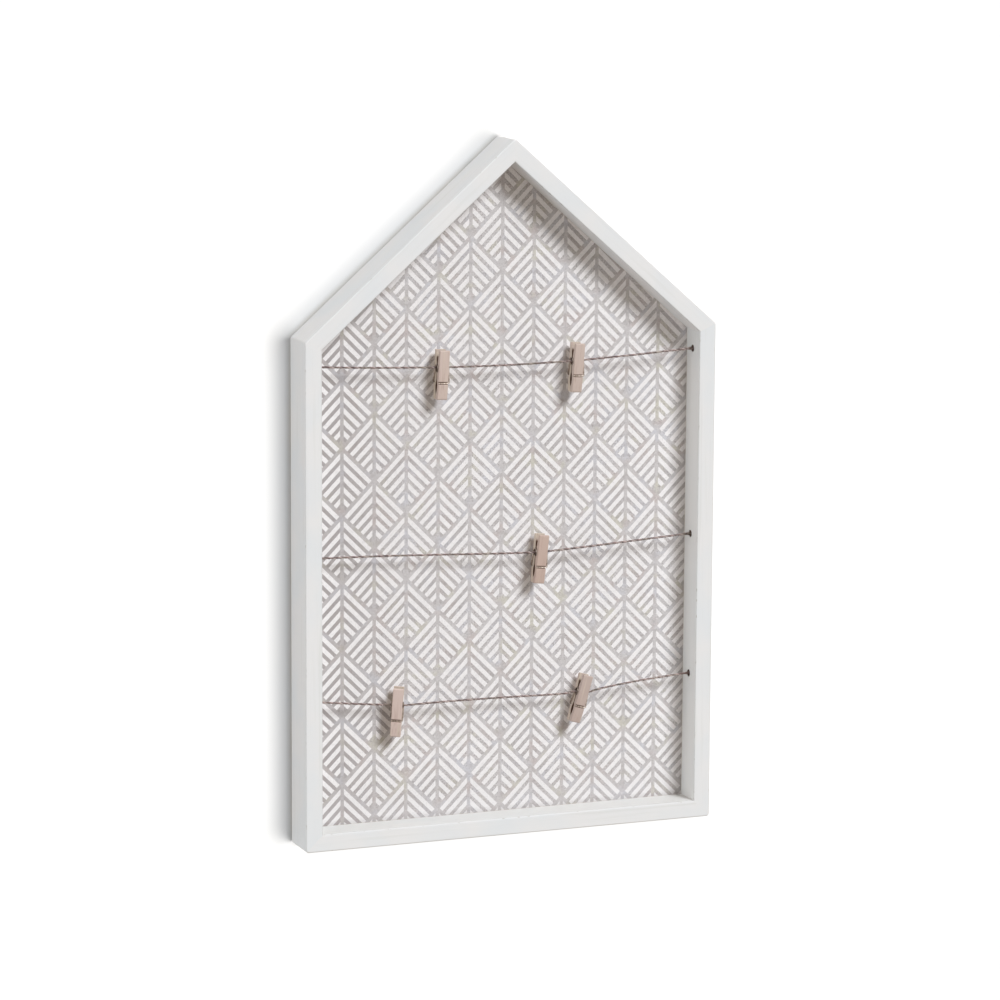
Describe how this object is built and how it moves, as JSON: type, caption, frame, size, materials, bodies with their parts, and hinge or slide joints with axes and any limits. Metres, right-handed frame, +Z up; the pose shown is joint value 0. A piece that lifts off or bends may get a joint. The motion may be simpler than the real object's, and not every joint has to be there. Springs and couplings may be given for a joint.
{
  "type": "clip memo board",
  "caption": "House-shaped wall memo board: a white wooden shadow-box frame with a printed back panel, and jute twines carrying small sprung pegs that slide, swing and open to clip cards.",
  "frame": {"origin": "where the board hangs: the root of the sawtooth hanger's middle tooth, in the plane of the rails' back faces", "axes": "+Z up to the ridge, +X to the right seen from the front, +Y back to the wall, so the front faces -Y"},
  "size_m": [0.3, 0.0318, 0.4813],
  "materials": {
    "frame_paint": "brushed white matt paint over wood",
    "panel_print": "thin fibreboard with a matt white and taupe print",
    "jute": "twisted jute twine",
    "peg_wood": "bare sanded wood",
    "spring_wire": "drawn steel wire",
    "hardware": "zinc-plated steel"
  },
  "bodies": {
    "board": {"bottom_rail": "frame_paint", "right_side_rail": "frame_paint", "right_roof_rail": "frame_paint", "left_roof_rail": "frame_paint", "left_side_rail": "frame_paint", "bottom_left_vnail": "hardware", "bottom_right_vnail": "hardware", "eave_right_vnail": "hardware", "ridge_vnail": "hardware", "eave_left_vnail": "hardware", "back_panel": "panel_print", "panel_point_1": "hardware", "panel_point_2": "hardware", "panel_point_3": "hardware", "panel_point_4": "hardware", "panel_point_5": "hardware", "panel_point_6": "hardware", "panel_point_7": "hardware", "panel_point_8": "hardware", "panel_point_9": "hardware", "panel_point_10": "hardware", "sawtooth_hanger": "hardware", "hanger_nail_left": "hardware", "hanger_nail_right": "hardware", "twine_upper": "jute", "twine_middle": "jute", "twine_lower": "jute"},
    "peg_1_slider": {"peg_1_spring": "spring_wire"},
    "peg_1_back": {"peg_1_back_half": "peg_wood"},
    "peg_1_front": {"peg_1_front_half": "peg_wood"},
    "peg_2_slider": {"peg_2_spring": "spring_wire"},
    "peg_2_back": {"peg_2_back_half": "peg_wood"},
    "peg_2_front": {"peg_2_front_half": "peg_wood"},
    "peg_3_slider": {"peg_3_spring": "spring_wire"},
    "peg_3_back": {"peg_3_back_half": "peg_wood"},
    "peg_3_front": {"peg_3_front_half": "peg_wood"},
    "peg_4_slider": {"peg_4_spring": "spring_wire"},
    "peg_4_back": {"peg_4_back_half": "peg_wood"},
    "peg_4_front": {"peg_4_front_half": "peg_wood"},
    "peg_5_slider": {"peg_5_spring": "spring_wire"},
    "peg_5_back": {"peg_5_back_half": "peg_wood"},
    "peg_5_front": {"peg_5_front_half": "peg_wood"}
  },
  "joints": [
    {"name": "peg_1_slide", "type": "slide", "parent": "board", "child": "peg_1_slider", "axis": [0.9993, 0, -0.037], "range_m": [-0.08, 0.043], "deforming": ["twine_upper"]},
    {"name": "peg_1_swing", "type": "hinge", "parent": "peg_1_slider", "child": "peg_1_back", "pos_m": [-0.048, -0.018, -0.13063], "axis": [0.9989, 0, -0.0471], "range_deg": [-22, 16]},
    {"name": "peg_1_jaw", "type": "hinge", "parent": "peg_1_back", "child": "peg_1_front", "pos_m": [-0.048, -0.018, -0.13063], "axis": [-0.9989, 0, 0.0471], "range_deg": [0, 22], "stiffness_Nm_per_rad": 0.012, "springref_deg": -91.67, "deforming": ["peg_1_spring"]},
    {"name": "peg_2_slide", "type": "slide", "parent": "board", "child": "peg_2_slider", "axis": [0.9992, 0, 0.0388], "range_m": [-0.043, 0.077], "deforming": ["twine_upper"]},
    {"name": "peg_2_swing", "type": "hinge", "parent": "peg_2_slider", "child": "peg_2_back", "pos_m": [0.051, -0.018, -0.13043], "axis": [0.9981, 0, -0.0611], "range_deg": [-22, 16]},
    {"name": "peg_2_jaw", "type": "hinge", "parent": "peg_2_back", "child": "peg_2_front", "pos_m": [0.051, -0.018, -0.13043], "axis": [-0.9981, 0, 0.0611], "range_deg": [0, 22], "stiffness_Nm_per_rad": 0.012, "springref_deg": -91.67, "deforming": ["peg_2_spring"]},
    {"name": "peg_3_slide", "type": "slide", "parent": "board", "child": "peg_3_slider", "axis": [1, 0, 0], "range_m": [-0.153, 0.103], "deforming": ["twine_middle"]},
    {"name": "peg_3_swing", "type": "hinge", "parent": "peg_3_slider", "child": "peg_3_back", "pos_m": [0.025, -0.018, -0.26223], "axis": [0.9954, 0, -0.0958], "range_deg": [-22, 16]},
    {"name": "peg_3_jaw", "type": "hinge", "parent": "peg_3_back", "child": "peg_3_front", "pos_m": [0.025, -0.018, -0.26223], "axis": [-0.9954, 0, 0.0958], "range_deg": [0, 22], "stiffness_Nm_per_rad": 0.012, "springref_deg": -91.67, "deforming": ["peg_3_spring"]},
    {"name": "peg_4_slide", "type": "slide", "parent": "board", "child": "peg_4_slider", "axis": [0.9987, 0, -0.0513], "range_m": [-0.048, 0.058], "deforming": ["twine_lower"]},
    {"name": "peg_4_swing", "type": "hinge", "parent": "peg_4_slider", "child": "peg_4_back", "pos_m": [-0.0796, -0.018, -0.36223], "axis": [0.9113, -0.4057, -0.0698], "range_deg": [-19, 14]},
    {"name": "peg_4_jaw", "type": "hinge", "parent": "peg_4_back", "child": "peg_4_front", "pos_m": [-0.0796, -0.018, -0.36223], "axis": [-0.9113, 0.4057, 0.0698], "range_deg": [0, 22], "stiffness_Nm_per_rad": 0.012, "springref_deg": -91.67, "deforming": ["peg_4_spring"]},
    {"name": "peg_5_slide", "type": "slide", "parent": "board", "child": "peg_5_slider", "axis": [0.9989, 0, 0.0477], "range_m": [-0.058, 0.07], "deforming": ["twine_lower"]},
    {"name": "peg_5_swing", "type": "hinge", "parent": "peg_5_slider", "child": "peg_5_back", "pos_m": [0.0566, -0.018, -0.36313], "axis": [0.9613, 0, -0.2756], "range_deg": [-22, 16]},
    {"name": "peg_5_jaw", "type": "hinge", "parent": "peg_5_back", "child": "peg_5_front", "pos_m": [0.0566, -0.018, -0.36313], "axis": [-0.9613, 0, 0.2756], "range_deg": [0, 22], "stiffness_Nm_per_rad": 0.012, "springref_deg": -91.67, "deforming": ["peg_5_spring"]}
  ]
}
